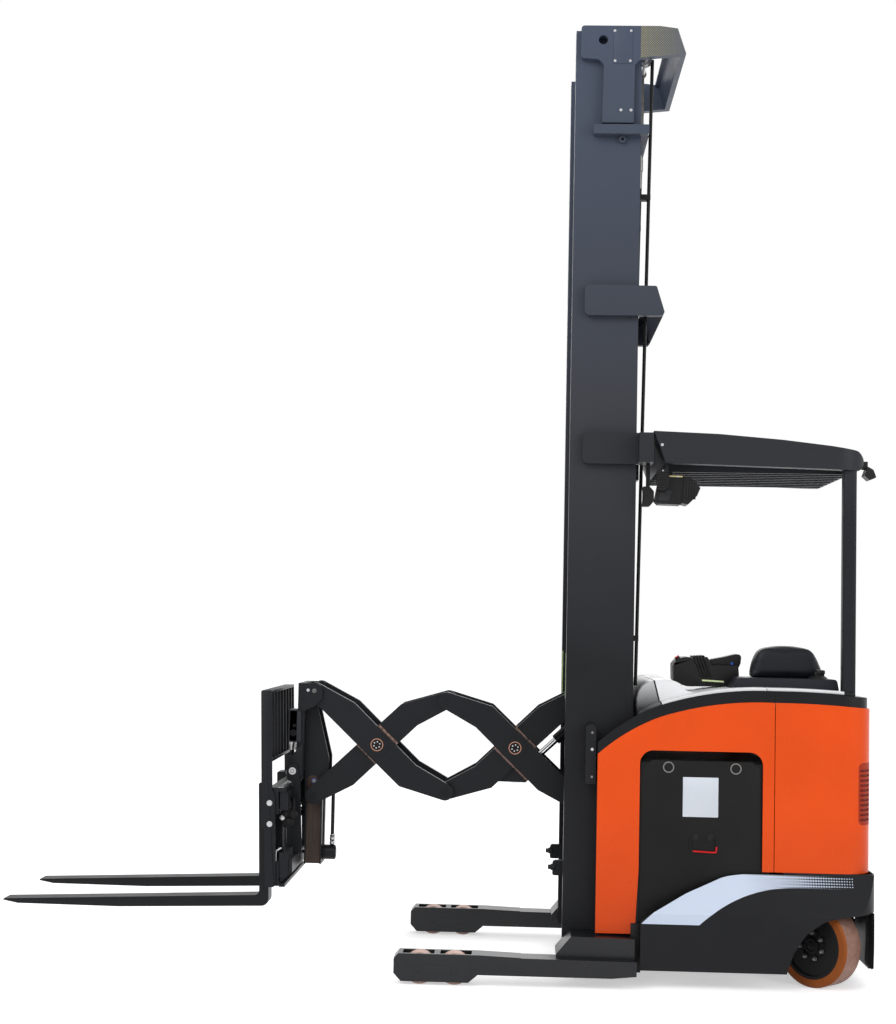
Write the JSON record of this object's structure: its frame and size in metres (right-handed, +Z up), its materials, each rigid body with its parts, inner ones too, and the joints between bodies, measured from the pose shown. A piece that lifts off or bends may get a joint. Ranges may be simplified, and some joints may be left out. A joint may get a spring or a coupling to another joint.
{
  "type": "reach truck",
  "caption": "Stand-up double-deep reach truck with straddle legs, staged mast, folding scissor reach, tilting forks, steered drive wheel and overhead guard.",
  "frame": {"origin": "centre of the bounding box, on the floor", "axes": "+X from the fork tips towards the tractor, +Y from the closed side to the other side, +Z up"},
  "size_m": [3.6532, 1.3, 4.027],
  "materials": {
    "battery_paint": "matt paint",
    "black_paint": "satin paint",
    "black_plastic": "moulded",
    "chain_steel": "oiled leaf chain",
    "charcoal_paint": "satin powder coat",
    "drive_tread": "cast polyurethane",
    "fork_paint": "satin paint, worn at the tips",
    "hose_rubber": "hose cover",
    "load_tread": "cast polyurethane",
    "motor_metal": "cast housing",
    "orange_paint": "gloss paint",
    "pad_cover": "grained vinyl",
    "plain_steel": "zinc plated",
    "polished_rod": "hard chrome",
    "vent_paint": "satin paint"
  },
  "bodies": {
    "truck": {"back_pad": "pad_cover", "base_legs": "charcoal_paint", "battery": "battery_paint", "chassis_frame": "charcoal_paint", "console": "black_plastic", "corner_panels": "orange_paint", "corner_vents": "vent_paint", "deck_mats": "hose_rubber", "guard_supports": "charcoal_paint", "hand_controls": "black_plastic", "head_sheaves": "plain_steel", "hood": "charcoal_paint", "lift_barrels": "black_paint", "lift_chains": "chain_steel", "load_axles": "plain_steel", "mast_braces": "charcoal_paint", "mast_outer": "black_paint", "mast_pipes": "hose_rubber", "overhead_guard": "charcoal_paint", "pad_base": "black_plastic", "side_panels": "orange_paint", "skirt": "charcoal_paint", "tower_cover": "charcoal_paint", "trim_bands": "charcoal_paint", "work_lamps": "black_plastic"},
    "mast_middle": {"mast_middle": "black_paint", "lift_rods": "polished_rod"},
    "mast_inner": {"mast_inner": "black_paint"},
    "lift_carriage": {"carriage": "black_paint"},
    "rear_inner_arm": {"arm_rear_inner": "black_paint"},
    "rear_outer_arm": {"arm_rear_outer": "black_paint"},
    "front_outer_arm": {"arm_front_outer": "black_paint"},
    "front_inner_arm": {"arm_front_inner": "black_paint"},
    "reach_barrel": {"reach_barrels": "black_paint"},
    "reach_rod": {"reach_rods": "polished_rod"},
    "fork_frame": {"fork_frame": "black_paint", "tilt_barrel": "black_paint", "fork_hoses": "hose_rubber"},
    "tilt_rod": {"tilt_rod": "polished_rod"},
    "tilt_carriage": {"tilt_carriage": "black_paint"},
    "fork_carriage": {"side_shift_frame": "black_paint", "forks": "fork_paint", "load_backrest": "black_paint"},
    "drive_unit": {"drive_leg": "black_paint", "traction_motor": "motor_metal"},
    "drive_wheel": {"drive_hub": "black_paint", "drive_tyre": "drive_tread"},
    "caster": {"caster_fork": "black_paint"},
    "caster_wheels": {"caster_wheels": "load_tread"},
    "load_wheel_near_front": {"load_wheel_near_front": "load_tread"},
    "load_wheel_near_rear": {"load_wheel_near_rear": "load_tread"},
    "load_wheel_far_front": {"load_wheel_far_front": "load_tread"},
    "load_wheel_far_rear": {"load_wheel_far_rear": "load_tread"}
  },
  "joints": [
    {"name": "mast_lift", "type": "slide", "parent": "truck", "child": "mast_middle", "axis": [0, 0, 1], "range_m": [0, 2.9]},
    {"name": "inner_lift", "type": "slide", "parent": "mast_middle", "child": "mast_inner", "axis": [0, 0, 1], "range_m": [0, 2.9]},
    {"name": "carriage_lift", "type": "slide", "parent": "mast_inner", "child": "lift_carriage", "axis": [0, 0, 1], "range_m": [-0.175, 2.55]},
    {"name": "reach_fold", "type": "hinge", "parent": "lift_carriage", "child": "rear_inner_arm", "pos_m": [0.61637, 0, 1.15447], "axis": [0, -1, 0], "range_deg": [0, 40]},
    {"name": "reach_rear_outer", "type": "hinge", "parent": "rear_inner_arm", "child": "rear_outer_arm", "pos_m": [0.33898, 0, 0.925], "axis": [0, -1, 0], "range_deg": [-81, 1]},
    {"name": "reach_front_outer", "type": "hinge", "parent": "rear_inner_arm", "child": "front_outer_arm", "pos_m": [0.03843, 0, 0.72683], "axis": [0, -1, 0], "range_deg": [-81, 1]},
    {"name": "reach_front_inner", "type": "hinge", "parent": "front_outer_arm", "child": "front_inner_arm", "pos_m": [-0.26211, 0, 0.925], "axis": [0, -1, 0], "range_deg": [-1, 81]},
    {"name": "reach_head", "type": "hinge", "parent": "front_outer_arm", "child": "fork_frame", "pos_m": [-0.53949, 0, 1.15447], "axis": [0, -1, 0], "range_deg": [-1, 41]},
    {"name": "reach_barrel_swing", "type": "hinge", "parent": "lift_carriage", "child": "reach_barrel", "pos_m": [0.74437, 0, 1.165], "axis": [0, -1, 0], "range_deg": [-1, 35.41]},
    {"name": "reach_rod_slide", "type": "slide", "parent": "reach_barrel", "child": "reach_rod", "axis": [-0.7331, 0, -0.6802], "range_m": [-0.0754, 0.003]},
    {"name": "fork_tilt", "type": "hinge", "parent": "fork_frame", "child": "tilt_carriage", "pos_m": [-0.62464, 0, 0.806], "axis": [0, 1, 0], "range_deg": [-1.3, 6.7]},
    {"name": "tilt_rod_slide", "type": "slide", "parent": "fork_frame", "child": "tilt_rod", "axis": [-1, 0, 0], "range_m": [-0.0103, 0.0448]},
    {"name": "side_shift", "type": "slide", "parent": "tilt_carriage", "child": "fork_carriage", "axis": [0, 1, 0], "range_m": [-0.05, 0.05]},
    {"name": "drive_steer", "type": "hinge", "parent": "truck", "child": "drive_unit", "pos_m": [1.60936, -0.4385, 0.1715], "axis": [0, 0, 1], "range_deg": [-46.5, 133.5]},
    {"name": "drive_spin", "type": "hinge", "parent": "drive_unit", "child": "drive_wheel", "pos_m": [1.60248, -0.44575, 0.1715], "axis": [0.6884, 0.7254, 0], "continuous": true},
    {"name": "caster_swivel", "type": "hinge", "parent": "truck", "child": "caster", "pos_m": [1.63437, 0.345, 0.075], "axis": [0, 0, 1], "continuous": true},
    {"name": "caster_spin", "type": "hinge", "parent": "caster", "child": "caster_wheels", "pos_m": [1.59237, 0.345, 0.075], "axis": [0, 1, 0], "continuous": true},
    {"name": "load_spin_near_front", "type": "hinge", "parent": "truck", "child": "load_wheel_near_front", "pos_m": [-0.03164, -0.5925, 0.0635], "axis": [0, 1, 0], "continuous": true},
    {"name": "load_spin_near_rear", "type": "hinge", "parent": "truck", "child": "load_wheel_near_rear", "pos_m": [0.10937, -0.5925, 0.0635], "axis": [0, 1, 0], "continuous": true},
    {"name": "load_spin_far_front", "type": "hinge", "parent": "truck", "child": "load_wheel_far_front", "pos_m": [-0.03164, 0.5925, 0.0635], "axis": [0, 1, 0], "continuous": true},
    {"name": "load_spin_far_rear", "type": "hinge", "parent": "truck", "child": "load_wheel_far_rear", "pos_m": [0.10937, 0.5925, 0.0635], "axis": [0, 1, 0], "continuous": true}
  ],
  "couplings": [
    {"joint": "inner_lift", "follows": "mast_lift", "ratio": 1},
    {"joint": "reach_rear_outer", "follows": "reach_fold", "ratio": -2},
    {"joint": "reach_front_outer", "follows": "reach_fold", "ratio": -2},
    {"joint": "reach_front_inner", "follows": "reach_fold", "ratio": 2},
    {"joint": "reach_head", "follows": "reach_fold", "ratio": 1},
    {"joint": "reach_barrel_swing", "follows": "reach_fold", "ratio": 0.8603},
    {"joint": "reach_rod_slide", "follows": "reach_fold", "m_per_rad": -0.10366},
    {"joint": "tilt_rod_slide", "follows": "fork_tilt", "m_per_rad": 0.366}
  ]
}
